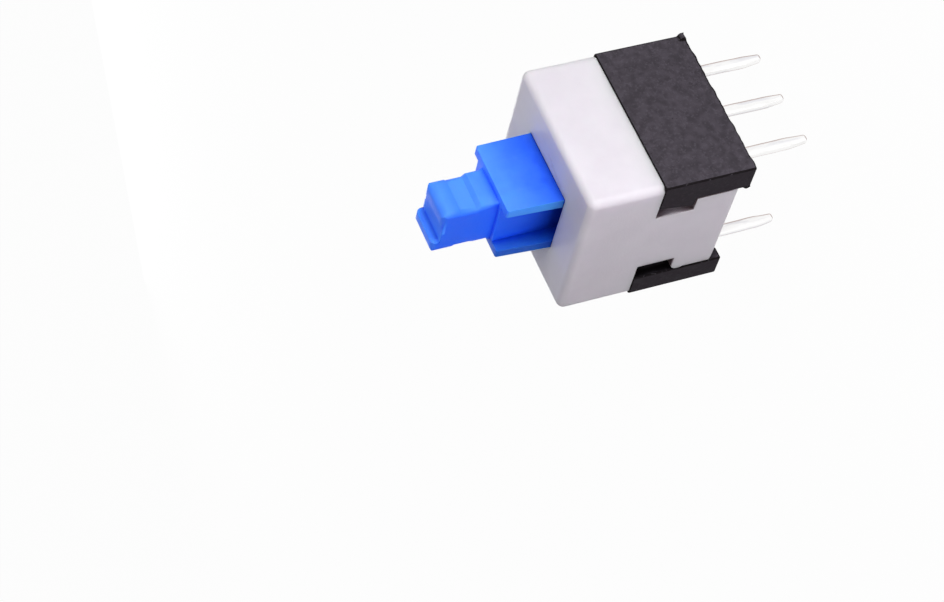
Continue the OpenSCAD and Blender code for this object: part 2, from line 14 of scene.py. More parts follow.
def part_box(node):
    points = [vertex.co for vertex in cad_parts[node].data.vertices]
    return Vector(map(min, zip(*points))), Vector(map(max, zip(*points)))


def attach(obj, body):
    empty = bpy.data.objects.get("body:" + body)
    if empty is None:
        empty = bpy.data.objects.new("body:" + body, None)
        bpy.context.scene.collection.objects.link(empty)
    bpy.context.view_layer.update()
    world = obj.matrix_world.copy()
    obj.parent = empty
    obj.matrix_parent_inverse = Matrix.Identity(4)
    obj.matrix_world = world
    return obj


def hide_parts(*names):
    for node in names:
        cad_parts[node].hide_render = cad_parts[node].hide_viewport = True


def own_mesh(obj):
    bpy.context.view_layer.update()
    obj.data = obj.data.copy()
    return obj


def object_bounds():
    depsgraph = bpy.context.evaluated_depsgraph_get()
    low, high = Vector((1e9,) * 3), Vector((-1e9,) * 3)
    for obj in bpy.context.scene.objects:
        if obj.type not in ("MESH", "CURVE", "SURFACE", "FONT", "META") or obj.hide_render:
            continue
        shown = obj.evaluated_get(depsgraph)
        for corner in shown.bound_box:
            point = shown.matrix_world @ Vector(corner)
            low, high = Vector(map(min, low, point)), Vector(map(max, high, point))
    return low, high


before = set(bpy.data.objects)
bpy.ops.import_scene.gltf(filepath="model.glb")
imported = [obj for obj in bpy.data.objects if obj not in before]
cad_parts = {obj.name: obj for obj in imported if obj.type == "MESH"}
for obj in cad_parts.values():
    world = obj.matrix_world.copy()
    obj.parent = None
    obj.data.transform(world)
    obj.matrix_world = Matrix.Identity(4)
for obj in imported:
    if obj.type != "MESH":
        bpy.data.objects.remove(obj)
cad_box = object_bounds()

MM = 0.001

# Camera of the main view: its place, direction and upward direction in the switch's frame
IMAGE_W = 944               # pixels
CAMERA_AT = Vector((60.7, 93.64, 53.38)) * MM
CAMERA_LOOK = Vector((-0.4810, -0.8092, -0.3376))
CAMERA_UP = Vector((-0.7934, 0.5655, -0.2251))
FOCAL_PIXELS = 2495.0       # focal length, in pixels of an image that wide
SENSOR_W = 36.0             # millimetres


# ---------------------------------------------------------------- small helpers

def node_size(name):
    """Lowest and highest corner of a node in millimetres, as two arrays."""
    low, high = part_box(name)
    return np.array(low) / MM, np.array(high) / MM


def grid_faces(rows, columns):
    """Quads of a grid whose rows are closed rings: point (i, j) has the number i * columns + j."""
    i, j = np.meshgrid(np.arange(rows - 1), np.arange(columns), indexing="ij")
    k = (j + 1) % columns
    here, above = i * columns, (i + 1) * columns
    quads = np.stack([here + j, here + k, above + k, above + j], axis=-1)
    return quads.reshape(-1, 4)


def tube_mesh(name, rings):
    """A closed mesh with capped ends, from an array of shape (rings, points, 3) in millimetres."""
    rows, columns = rings.shape[:2]
    faces = grid_faces(rows, columns).tolist()
    faces.append(list(range(columns))[::-1])
    faces.append(list(range((rows - 1) * columns, rows * columns)))
    mesh = bpy.data.meshes.new(name)
    mesh.from_pydata((rings.reshape(-1, 3) * MM).tolist(), [], faces)
    return point_outwards(mesh)


def point_outwards(mesh):
    """Turns every face of a closed mesh outwards and shades it smooth."""
    shape = bmesh.new()
    shape.from_mesh(mesh)
    bmesh.ops.recalc_face_normals(shape, faces=shape.faces)
    shape.to_mesh(mesh)
    shape.free()
    mesh.shade_smooth()
    return mesh


def place(mesh, name, body, material, replaced=()):
    """Puts a mesh into the scene as a piece that rides on a body and stands for CAD nodes."""
    piece = bpy.data.objects.new(name, mesh)
    bpy.context.scene.collection.objects.link(piece)
    mesh.materials.clear()
    mesh.materials.append(material)
    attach(piece, body)
    if replaced:
        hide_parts(*replaced)
    return piece


def section(width, thick, radius, steps=5):
    """Outline of a rectangle with round corners: quarter circles of that radius, joined by straight sides."""
    turn = np.concatenate([np.linspace(q, q + 90, steps) for q in (0, 90, 180, 270)])
    side_x = np.repeat([1, -1, -1, 1], steps)
    side_y = np.repeat([1, 1, -1, -1], steps)
    a = np.radians(turn)
    return np.stack([side_x * (width / 2 - radius) + radius * np.cos(a),
                     side_y * (thick / 2 - radius) + radius * np.sin(a)], axis=-1)


def carry(sections, centres, across, upward):
    """Carries outlines along a path.

    Ring i is centre i, plus its outline's x times across i, plus its outline's y times upward i.
    """
    return (centres[:, None, :] + sections[..., 0:1] * across[:, None, :]
            + sections[..., 1:2] * upward[:, None, :])


def wander(t, seed, waves=5, first=1.0):
    """A smooth random line between about -1 and 1.

    It is half the sum of sines 1 to waves. Sine k has the pitch k * first, the strength 1 / k ** 0.7 and a
    random start.
    """
    rng = np.random.default_rng(seed)
    total = np.zeros_like(t)
    for k in range(waves):
        total += np.sin(first * (k + 1) * t * 2 * np.pi + rng.uniform(0, 2 * np.pi)) / (k + 1) ** 0.7
    return total / 2


# ---------------------------------------------------------------- shader groups

NOISE_SPAN = (0.3, 0.7)


def new_group(name, inputs, outputs):
    """An empty shader group with named float inputs (name, default) and outputs (name, kind)."""
    group = bpy.data.node_groups.new(name, "ShaderNodeTree")
    for label, default in inputs:
        socket = group.interface.new_socket(label, in_out="INPUT", socket_type="NodeSocketFloat")
        socket.default_value = default
    for label, kind in outputs:
        group.interface.new_socket(label, in_out="OUTPUT", socket_type=kind)
    return group, group.nodes.new("NodeGroupInput"), group.nodes.new("NodeGroupOutput")


def feed(tree, socket, value):
    """Gives an input a number, or links another node's output to it."""
    if isinstance(value, (int, float)):
        socket.default_value = value
    else:
        tree.links.new(value, socket)


def math_node(tree, operation, a, b, clamp=False):
    """A Math node; a and b are sockets or numbers."""
    node = tree.nodes.new("ShaderNodeMath")
    node.operation = operation
    node.use_clamp = clamp
    feed(tree, node.inputs[0], a)
    feed(tree, node.inputs[1], b)
    return node.outputs[0]


def noise(tree, vector, scale, detail=2.0, roughness=0.5):
    """A Noise Texture on a vector socket; scale is a number or a socket."""
    node = tree.nodes.new("ShaderNodeTexNoise")
    node.inputs["Detail"].default_value = detail
    node.inputs["Roughness"].default_value = roughness
    tree.links.new(vector, node.inputs["Vector"])
    feed(tree, node.inputs["Scale"], scale)
    return node.outputs["Fac"]


def remap(tree, value, low, high, out_low=0.0, out_high=1.0):
    """Maps low..high smoothly to out_low..out_high, held at both ends; each end is a number or a socket."""
    node = tree.nodes.new("ShaderNodeMapRange")
    node.interpolation_type = "SMOOTHSTEP"
    tree.links.new(value, node.inputs["Value"])
    for label, end in (("From Min", low), ("From Max", high), ("To Min", out_low), ("To Max", out_high)):
        feed(tree, node.inputs[label], end)
    return node.outputs["Result"]


def spread(tree, pattern):
    """A noise pattern spread over 0 to 1, because most of a Noise Texture lies within NOISE_SPAN."""
    return remap(tree, pattern, *NOISE_SPAN)


def blend_colours(tree, share, one, two):
    """Mixes two colours, each a socket or a tuple, by a share."""
    node = tree.nodes.new("ShaderNodeMix")
    node.data_type = "RGBA"
    tree.links.new(share, node.inputs["Factor"])
    for socket, value in ((node.inputs["A"], one), (node.inputs["B"], two)):
        if isinstance(value, tuple):
            socket.default_value = (*value, 1.0)
        else:
            tree.links.new(value, socket)
    return node.outputs["Result"]


def own_coordinates(tree):
    """Coordinates of the piece in metres."""
    return tree.nodes.new("ShaderNodeTexCoord").outputs["Object"]


def along(tree, axis, span, out_low=0.0, out_high=1.0):
    """Changes from out_low to out_high along one axis of the piece, over a span in millimetres."""
    place_at = tree.nodes.new("ShaderNodeSeparateXYZ")
    tree.links.new(own_coordinates(tree), place_at.inputs[0])
    return remap(tree, place_at.outputs[axis], span[0] * MM, span[1] * MM, out_low, out_high)


def carried_value(tree, name):
    """A number that the mesh carries under that name."""
    node = tree.nodes.new("ShaderNodeAttribute")
    node.attribute_name = name
    return node.outputs["Fac"]


def per_metre(tree, size_mm):
    """The scale of a Noise Texture whose lumps have that size in millimetres."""
    return math_node(tree, "DIVIDE", 1 / MM, size_mm)


def build_mould_grain():
    """Skin of a moulding: fine pits for the Bump node, and a slow cloudiness for colour and roughness."""
    group, given, put = new_group(
        "mould_grain",
        [("Grain Size mm", 0.08), ("Cloud Size mm", 1.5)],
        [("Height", "NodeSocketFloat"), ("Cloud", "NodeSocketFloat")])
    place_at = own_coordinates(group)
    pits = noise(group, place_at, per_metre(group, given.outputs["Grain Size mm"]), detail=3.0, roughness=0.6)
    clouds = noise(group, place_at, per_metre(group, given.outputs["Cloud Size mm"]), detail=3.0)
    group.links.new(spread(group, pits), put.inputs["Height"])
    group.links.new(spread(group, clouds), put.inputs["Cloud"])
    return group


def build_edge_patches():
    """Patches on a moulding's edge rounding: the faces of the rounding, broken up by noise."""
    group, given, put = new_group(
        "edge_patches", [("Patch Size mm", 0.3), ("Share", 0.5)], [("Mask", "NodeSocketFloat")])
    patch = noise(group, own_coordinates(group), per_metre(group, given.outputs["Patch Size mm"]))
    kept = math_node(group, "GREATER_THAN", patch, math_node(group, "SUBTRACT", 1.0, given.outputs["Share"]))
    group.links.new(math_node(group, "MULTIPLY", carried_value(group, "rim"), kept), put.inputs["Mask"])
    return group


def build_drawn_metal():
    """Streaks of rolled or drawn metal, Length times as long along Z as across, and lumps 3 times as wide."""
    group, given, put = new_group(
        "drawn_metal",
        [("Streak Size mm", 0.12), ("Length", 12.0)],
        [("Streak", "NodeSocketFloat"), ("Lump", "NodeSocketFloat")])
    place_at = own_coordinates(group)
    stretch = group.nodes.new("ShaderNodeVectorMath")
    stretch.operation = "DIVIDE"
    factors = group.nodes.new("ShaderNodeCombineXYZ")
    factors.inputs["X"].default_value = 1.0
    factors.inputs["Y"].default_value = 1.0
    group.links.new(given.outputs["Length"], factors.inputs["Z"])
    group.links.new(place_at, stretch.inputs[0])
    group.links.new(factors.outputs[0], stretch.inputs[1])
    fine = per_metre(group, given.outputs["Streak Size mm"])
    streak = noise(group, stretch.outputs[0], fine, detail=3.0, roughness=0.6)
    lump = noise(group, place_at, math_node(group, "DIVIDE", fine, 3.0))
    group.links.new(spread(group, streak), put.inputs["Streak"])
    group.links.new(spread(group, lump), put.inputs["Lump"])
    return group


def build_scratches():
    """Short thin marks: noise drawn out along one slanting line, kept only where it is highest."""
    slant = (0.6, 0.35, 0.9)    # radians
    patch_mm = 1.7              # size of the patches that have more marks
    highest = 0.95
    steepness = 12.0
    group, given, put = new_group(
        "scratches", [("Length mm", 0.8), ("Width mm", 0.03), ("Share", 0.3)], [("Mask", "NodeSocketFloat")])
    turn = group.nodes.new("ShaderNodeVectorRotate")
    turn.rotation_type = "EULER_XYZ"
    turn.inputs["Rotation"].default_value = slant
    group.links.new(own_coordinates(group), turn.inputs["Vector"])
    sizes = group.nodes.new("ShaderNodeCombineXYZ")
    for axis, label in (("X", "Length mm"), ("Y", "Width mm"), ("Z", "Width mm")):
        group.links.new(math_node(group, "MULTIPLY", given.outputs[label], MM), sizes.inputs[axis])
    stretch = group.nodes.new("ShaderNodeVectorMath")
    stretch.operation = "DIVIDE"
    group.links.new(turn.outputs[0], stretch.inputs[0])
    group.links.new(sizes.outputs[0], stretch.inputs[1])
    line = noise(group, stretch.outputs[0], 1.0, detail=1.0)
    patch = noise(group, own_coordinates(group), 1 / (patch_mm * MM), detail=1.0)
    least = math_node(group, "SUBTRACT", highest, math_node(group, "MULTIPLY", given.outputs["Share"], patch))
    over = math_node(group, "MULTIPLY", math_node(group, "SUBTRACT", line, least), steepness, clamp=True)
    group.links.new(over, put.inputs["Mask"])
    return group


def build_shade_mask():
    """Mask for painted shade in corners and gaps that light hardly reaches: 1 where narrower than about the
    reach, 0 on open faces.

    The share of directions that are free from a point runs from 0 to 1. The mask is 1 at Dark At and below, and
    0 at Clear At and above. Among All counts every piece, and Own Faces only the piece itself.
    """
    group, given, put = new_group(
        "shade_mask", [("Reach mm", 1.0), ("Dark At", 0.4), ("Clear At", 0.9)],
        [("Among All", "NodeSocketFloat"), ("Own Faces", "NodeSocketFloat")])
    reach = math_node(group, "MULTIPLY", given.outputs["Reach mm"], MM)
    for label, own_only in (("Among All", False), ("Own Faces", True)):
        nearby = group.nodes.new("ShaderNodeAmbientOcclusion")
        nearby.samples = 16
        nearby.only_local = own_only
        group.links.new(reach, nearby.inputs["Distance"])
        dark_at, clear_at = given.outputs["Dark At"], given.outputs["Clear At"]
        group.links.new(remap(group, nearby.outputs["AO"], dark_at, clear_at, 1.0, 0.0), put.inputs[label])
    return group


def build_looking_up():
    """1 on faces that look up, along +Y, and Front Share on faces along +Z: the faces that the materials paint
    lighter, as if lit from above.
    """
    group, given, put = new_group("looking_up", [("Front Share", 0.0)], [("Share", "NodeSocketFloat")])
    facing = group.nodes.new("ShaderNodeSeparateXYZ")
    group.links.new(group.nodes.new("ShaderNodeTexCoord").outputs["Normal"], facing.inputs[0])
    front = math_node(group, "MULTIPLY", facing.outputs["Z"], given.outputs["Front Share"])
    group.links.new(math_node(group, "ADD", facing.outputs["Y"], front, clamp=True), put.inputs["Share"])
    return group


MOULD_GRAIN = build_mould_grain()
EDGE_PATCHES = build_edge_patches()
SCRATCHES = build_scratches()
DRAWN_METAL = build_drawn_metal()
SHADE_MASK = build_shade_mask()
LOOKING_UP = build_looking_up()


# ---------------------------------------------------------------- materials

# Spans in millimetres over which a moulding's colour changes: where its painted light and shade start or end
SHADED_FROM_Z = (0.5, 1.2)      # painted shade in the housing's gaps starts in front of this
SHADED_TO_Z = (8.0, 8.2)        # and behind this, which leaves the rim of the plunger's opening pale
MOUTH_Z = (8.2, 12.4)           # painted shade: the plunger's blue is deep at the housing's mouth and turns clear over this span
LIP_Y = (1.40, 1.46)            # the thin edge above the latch channel starts; its sides are painted paler there
LOWER_FLANGE_Y = (-1.25, -1.15)     # the plunger's lower flange ends; below it the flange carries painted shade
# the lower flange's painted shade fades out over this span at its front
FLANGE_FRONT_Z = (11.5, 11.7)


def new_material(name):
    """A material with a Principled shader; returns the material, its tree and the shader."""
    material = bpy.data.materials.new(name)
    material.use_nodes = True
    return material, material.node_tree, material.node_tree.nodes["Principled BSDF"]


def use_group(tree, group, **values):
    """Places a group in a material with its own values; words in a value's name are joined by _."""
    node = tree.nodes.new("ShaderNodeGroup")
    node.node_tree = group
    for label, value in values.items():
        node.inputs[label.replace("_", " ")].default_value = value
    return node


def bump(tree, shader, height, depth_mm):
    """Feeds a height map of 0 to 1, that deep in millimetres, to a shader's normal."""
    node = tree.nodes.new("ShaderNodeBump")
    node.inputs["Strength"].default_value = 1.0
    node.inputs["Distance"].default_value = depth_mm * MM
    tree.links.new(height, node.inputs["Height"])
    tree.links.new(node.outputs["Normal"], shader.inputs["Normal"])


def white_moulding():
    """Milky white plastic with a faint cast, light glowing a little through its edges.

    Its gaps and inner corners carry painted shade.
    """
    material, tree, shader = new_material("white_moulding")
    skin = use_group(tree, MOULD_GRAIN, Grain_Size_mm=0.12, Cloud_Size_mm=2.2)
    colour = blend_colours(tree, skin.outputs["Cloud"], (0.82, 0.78, 0.84), (0.86, 0.82, 0.88))
    # Painted shade: gaps and inner corners that light hardly reaches are darkened, except near the rear edge
    # and the opening's rim.
    shade_amount = use_group(tree, SHADE_MASK, Reach_mm=0.9, Dark_At=0.6, Clear_At=1.0).outputs["Among All"]
    behind_rim = along(tree, "Z", SHADED_TO_Z, 1.0, 0.0)
    before_rear_edge = along(tree, "Z", SHADED_FROM_Z)
    painted_gap_shade = math_node(tree, "MULTIPLY", shade_amount, math_node(tree, "MULTIPLY", behind_rim, before_rear_edge))
    tree.links.new(blend_colours(tree, painted_gap_shade, colour, (0.16, 0.12, 0.13)), shader.inputs["Base Color"])
    tree.links.new(remap(tree, skin.outputs["Cloud"], 0, 1, 0.36, 0.48), shader.inputs["Roughness"])
    shader.inputs["Subsurface Weight"].default_value = 0.85
    shader.inputs["Subsurface Radius"].default_value = (1.0, 0.9, 0.95)
    shader.inputs["Subsurface Scale"].default_value = 0.8 * MM
    shader.inputs["Specular IOR Level"].default_value = 0.14
    bump(tree, shader, skin.outputs["Height"], 0.003)
    return material


def black_moulding():
    """Filled black plastic: matt and faintly clouded, with pale flecks, fine scratches and lighter specks on
    its edges.

    Painted light makes faces that look up lighter than its sides; painted shade darkens its edge rounding and
    recesses.
    """
    material, tree, shader = new_material("black_moulding")
    shader.inputs["Specular IOR Level"].default_value = 0.06
    skin = use_group(tree, MOULD_GRAIN, Grain_Size_mm=0.14, Cloud_Size_mm=0.4)
    edge_patch = use_group(tree, EDGE_PATCHES, Patch_Size_mm=0.16, Share=0.36)
    marks = use_group(tree, SCRATCHES, Length_mm=0.7, Width_mm=0.06, Share=0.42)
    upward = use_group(tree, LOOKING_UP, Front_Share=0.0).outputs["Share"]
    shade_amount = use_group(tree, SHADE_MASK, Reach_mm=1.2, Dark_At=0.4, Clear_At=0.9).outputs["Among All"]
    # Painted light: faces that look up get a lighter colour than the sides, as if lit from above.
    painted_lit_top = blend_colours(tree, skin.outputs["Cloud"], (0.047, 0.041, 0.050), (0.075, 0.065, 0.080))
    painted_shaded_side = blend_colours(tree, skin.outputs["Cloud"], (0.024, 0.020, 0.025), (0.036, 0.030, 0.036))
    ground = blend_colours(tree, upward, painted_shaded_side, painted_lit_top)
    # Pale flecks, stronger on faces that look up, which adds to the painted light there.
    flecks = math_node(tree, "MULTIPLY", remap(tree, skin.outputs["Height"], 0.62, 1.0),
                       remap(tree, upward, 0.0, 1.0, 0.12, 0.5))
    flecked = blend_colours(tree, flecks, ground, (0.10, 0.088, 0.108))
    # Painted shadow: the faces of the edge rounding are darkened almost to black.
    rim = math_node(tree, "MULTIPLY", carried_value(tree, "rim"), 0.95)
    painted_edge_shadow = blend_colours(tree, rim, flecked, (0.007, 0.005, 0.006))
    # Lighter specks in patches on the edge rounding.
    lighter_edges = blend_colours(tree, edge_patch.outputs["Mask"], painted_edge_shadow, (0.05, 0.045, 0.052))
    scratched = blend_colours(tree, marks.outputs["Mask"], lighter_edges, (0.024, 0.021, 0.024))
    # Painted shade: recesses and gaps that light hardly reaches turn nearly black.
    shaded = blend_colours(tree, shade_amount, scratched, (0.002, 0.0014, 0.0018))
    tree.links.new(shaded, shader.inputs["Base Color"])
    tree.links.new(remap(tree, skin.outputs["Cloud"], 0, 1, 0.6, 0.78), shader.inputs["Roughness"])
    bump(tree, shader, skin.outputs["Height"], 0.005)
    return material


def blue_moulding():
    """Waxy blue plastic with light scattering inside it, and painted light and shade in its colour.

    Faces that look up or to the front are paler, its edges carry a painted highlight and its lip's sides are
    painted paler. Painted shade deepens its inner corners, its lower flange and the part near the housing. A
    weak blue emission is painted light that makes its open faces glow.
    """
    material, tree, shader = new_material("blue_moulding")
    skin = use_group(tree, MOULD_GRAIN, Grain_Size_mm=0.15, Cloud_Size_mm=1.4)
    edge_patch = use_group(tree, EDGE_PATCHES, Patch_Size_mm=0.6, Share=0.8)
    upward = use_group(tree, LOOKING_UP, Front_Share=1.0).outputs["Share"]
    # Painted shade: the blue deepens towards the housing's mouth, with a faint random cloud over it.
    cloud = math_node(tree, "MULTIPLY", math_node(tree, "SUBTRACT", skin.outputs["Cloud"], 0.5), 0.25)
    clouded = math_node(tree, "ADD", along(tree, "Z", MOUTH_Z), cloud, clamp=True)
    # Painted light: faces that look up or to the front get a paler blue.
    painted_lit_faces = blend_colours(tree, upward, (0.038, 0.21, 1.0), (0.098, 0.335, 1.0))
    ground = blend_colours(tree, clouded, (0.022, 0.13, 0.90), painted_lit_faces)
    # Painted highlight: patches of the edge rounding are paler.
    lighter_edges = blend_colours(tree, edge_patch.outputs["Mask"], ground, (0.15, 0.42, 1.0))
    # Painted light: the lip's side faces get a paler blue, as light as its top.
    lip = math_node(tree, "MULTIPLY", along(tree, "Y", LIP_Y), math_node(tree, "SUBTRACT", 1.0, upward))
    painted_lit_lip = blend_colours(tree, lip, lighter_edges, (0.10, 0.46, 1.0))
    # Painted shade: the lower flange is darkened behind its front.
    lower_flange = math_node(tree, "MULTIPLY", along(tree, "Y", LOWER_FLANGE_Y, 1.0, 0.0),
                             along(tree, "Z", FLANGE_FRONT_Z, 0.7, 0.0))
    painted_flange_shade = blend_colours(tree, lower_flange, painted_lit_lip, (0.012, 0.13, 0.50))
    # Painted shade: the plunger's own creases get a darker, deeper blue.
    corners = use_group(tree, SHADE_MASK, Reach_mm=0.6, Dark_At=0.4, Clear_At=0.9).outputs["Own Faces"]
    painted_crease_shade = blend_colours(tree, math_node(tree, "MULTIPLY", corners, 0.9), painted_flange_shade, (0.003, 0.085, 0.9))
    # Painted shade: corners and gaps among all pieces that light hardly reaches are darkened.
    shade_amount = use_group(tree, SHADE_MASK, Reach_mm=2.2, Dark_At=0.25, Clear_At=0.72).outputs["Among All"]
    shade = math_node(tree, "MULTIPLY", shade_amount, 0.92)
    tree.links.new(blend_colours(tree, shade, painted_crease_shade, (0.001, 0.035, 0.40)), shader.inputs["Base Color"])
    # Painted light: a weak blue emission makes open faces glow, less towards the housing, none in painted shade
    # or on the lower flange.
    open_painted_glow = blend_colours(tree, clouded, (0.0, 0.004, 0.08), (0.0, 0.012, 0.33))
    no_painted_glow = math_node(tree, "MAXIMUM", shade_amount, lower_flange)
    painted_glow = blend_colours(tree, no_painted_glow, open_painted_glow, (0.0, 0.0, 0.0))
    tree.links.new(painted_glow, shader.inputs["Emission Color"])
    shader.inputs["Emission Strength"].default_value = 1.0
    tree.links.new(remap(tree, skin.outputs["Cloud"], 0, 1, 0.42, 0.55), shader.inputs["Roughness"])
    shader.inputs["Specular IOR Level"].default_value = 0.12
    shader.inputs["Subsurface Weight"].default_value = 0.5
    shader.inputs["Subsurface Radius"].default_value = (0.15, 0.45, 1.0)
    shader.inputs["Subsurface Scale"].default_value = 0.7 * MM
    bump(tree, shader, skin.outputs["Height"], 0.003)
    return material


def tinned_strip():
    """Bright tin, wavy from dipping; its sheared corners show the brown copper alloy below."""
    material, tree, shader = new_material("tinned_strip")
    streaks = use_group(tree, DRAWN_METAL, Streak_Size_mm=0.3, Length=8.0)
    tin = blend_colours(tree, streaks.outputs["Streak"], (0.95, 0.945, 0.94), (1.0, 0.995, 0.99))
    sheared = carried_value(tree, "sheared")
    dull = math_node(tree, "MULTIPLY", remap(tree, streaks.outputs["Streak"], 0.3, 0.8),
                     remap(tree, sheared, 0.2, 0.5, 0.1, 1.0))
    clouded = blend_colours(tree, dull, tin, (0.80, 0.795, 0.82))
    worn_through = math_node(tree, "MULTIPLY", remap(tree, sheared, 0.58, 0.78),
                             remap(tree, streaks.outputs["Streak"], 0.0, 0.4, 0.75, 1.0))
    colour = blend_colours(tree, worn_through, clouded, (0.44, 0.33, 0.30))
    tree.links.new(colour, shader.inputs["Base Color"])
    shader.inputs["Metallic"].default_value = 1.0
    tree.links.new(remap(tree, streaks.outputs["Streak"], 0, 1, 0.28, 0.4), shader.inputs["Roughness"])
    bump(tree, shader, streaks.outputs["Lump"], 0.005)
    return material


def drawn_wire(name, dark, light, rough):
    """Metal of the inner springs: streaked along its length."""
    material, tree, shader = new_material(name)
    streaks = use_group(tree, DRAWN_METAL, Streak_Size_mm=0.05, Length=6.0)
    tree.links.new(blend_colours(tree, streaks.outputs["Streak"], dark, light), shader.inputs["Base Color"])
    shader.inputs["Metallic"].default_value = 1.0
    roughness = remap(tree, streaks.outputs["Lump"], 0, 1, rough, rough + 0.12)
    tree.links.new(roughness, shader.inputs["Roughness"])
    bump(tree, shader, streaks.outputs["Streak"], 0.003)
    return material


WHITE = white_moulding()
BLACK = black_moulding()
BLUE = blue_moulding()
TIN = tinned_strip()
STEEL = drawn_wire("spring_steel_wire", (0.48, 0.48, 0.50), (0.66, 0.66, 0.68), 0.25)
BRONZE = drawn_wire("contact_bronze", (0.62, 0.44, 0.22), (0.80, 0.62, 0.34), 0.28)


# ---------------------------------------------------------------- mouldings

SAME_PLACE = 1e-4           # millimetres within which two points or heights count as one
FLAT_DEG = 0.5              # degrees within which two faces count as one
EDGE_SHARE = 0.3            # widest rounding of an edge that isn't clamped, as a share of its length
WAVE_STEP = 0.12            # points along a ragged edge
WAVE_REACH = 0.3            # how far from a ragged edge its moulding bends with it
HOUSING_EDGE_R = 0.4        # outer edges of the housing
STEM_EDGE_R = 0.28          # long edges of the plunger's stem
STEM_HALF_W = 1.1
STEM_PROFILE = ((11.75, -1.39, 1.53), (12.45, -1.39, 1.53), (12.65, -1.33, 1.33), (13.45, -1.33, 1.33),
                (13.52, -1.4, 1.4), (14.7, -1.4, 1.4))    # rows of height, lowest Y and highest Y
BLOCK_FRONT = 11.55         # front of the plunger's block, where the stem starts
STEM_TIP = 14.3             # the stem's tip is rounded by the Bevel in front of this height
IN_THE_HOUSING = 8.9        # the plunger's edges behind this height slide in the housing
RIM_BACK = 8.2              # only the edges round the housing's front face lie in front of this height
WINDOW_TOP = -2.0           # Y below which the wall of side A has its window and foot
BODY_HALF = node_size("upper_terminal_plate")[1][0]


def whole_faces(mesh):
    """The mesh's loose triangles merged and its flat faces made whole, as a bmesh."""
    shape = bmesh.new()
    shape.from_mesh(mesh)
    bmesh.ops.remove_doubles(shape, verts=shape.verts, dist=SAME_PLACE * MM)
    bmesh.ops.dissolve_limit(shape, angle_limit=math.radians(FLAT_DEG), verts=shape.verts, edges=shape.edges)
    return shape


def cut_across(shape, axis, levels):
    """Cuts a shape with planes across an axis, at levels in millimetres."""
    across = np.eye(3)[axis]
    for level in levels:
        whole = shape.verts[:] + shape.edges[:] + shape.faces[:]
        bmesh.ops.bisect_plane(shape, geom=whole, dist=SAME_PLACE * MM, plane_co=across * level * MM,
                               plane_no=across)


def points_of(shape):
    """A shape's points in millimetres, as an array of shape (points, 3)."""
    return np.array([vert.co for vert in shape.verts]) / MM


def move_points(shape, points):
    """Puts a shape's points at these places in millimetres."""
    for vert, at in zip(shape.verts, points):
        vert.co = Vector(at) * MM


def wave_edge(shape, height, depth, step, shift):
    """Bends an edge that runs along X at Y height and Z depth, in a shape that is already rounded.

    shift(x in mm) gives the offset in millimetres, an array of shape (points, 3). It holds at the edge and
    fades evenly to nothing at WAVE_REACH from it.
    """
    points = points_of(shape)
    cut_across(shape, 0, np.arange(points[:, 0].min() + step, points[:, 0].max(), step))
    points = points_of(shape)
    away = np.hypot(points[:, 1] - height, points[:, 2] - depth)
    share = np.clip(1 - away / WAVE_REACH, 0, 1)
    move_points(shape, points + share[:, None] * shift(points[:, 0]))


def round_off(shape, low, high, radius, profile=(), steps=4):
    """Gives a moulding's outer edges one radius; low and high are its box in mm, infinite where open.

    q is a point clamped into the box shrunk by the radius. A point p further from q than the radius is drawn
    to q + (p - q) * radius / |p - q|. Cuts at radius * tan of even angles give the arcs their points. A profile
    has rows of height, lowest Y and highest Y: the box's Y bounds then change evenly from row to row, and
    points outside the profile's heights keep their places.
    """
    bounds = [(axis, bound, inward) for axis in range(3)
              for bound, inward in ((low[axis], 1), (high[axis], -1)) if math.isfinite(bound)]
    bounds += [(1, row[1], 1) for row in profile] + [(1, row[2], -1) for row in profile]
    turns = np.arange(steps) / steps * math.pi / 4
    for axis, bound, inward in bounds:
        cut_across(shape, axis, bound + inward * radius * (1 - np.tan(turns)))
    cut_across(shape, 2, [row[0] for row in profile])
    points = points_of(shape)
    low, high = np.tile(low, (len(points), 1)), np.tile(high, (len(points), 1))
    chosen = np.ones(len(points), dtype=bool)
    if profile:
        heights, low_rows, high_rows = np.array(profile).T
        low[:, 1] = np.interp(points[:, 2], heights, low_rows)
        high[:, 1] = np.interp(points[:, 2], heights, high_rows)
        chosen = (points[:, 2] >= heights[0] - SAME_PLACE) & (points[:, 2] <= heights[-1] + SAME_PLACE)
    nearest = np.clip(points, low + radius, high - radius)
    away = points - nearest
    distance = np.linalg.norm(away, axis=1)
    chosen &= distance > radius
    points[chosen] = nearest[chosen] + away[chosen] * (radius / distance[chosen])[:, None]
    move_points(shape, points)


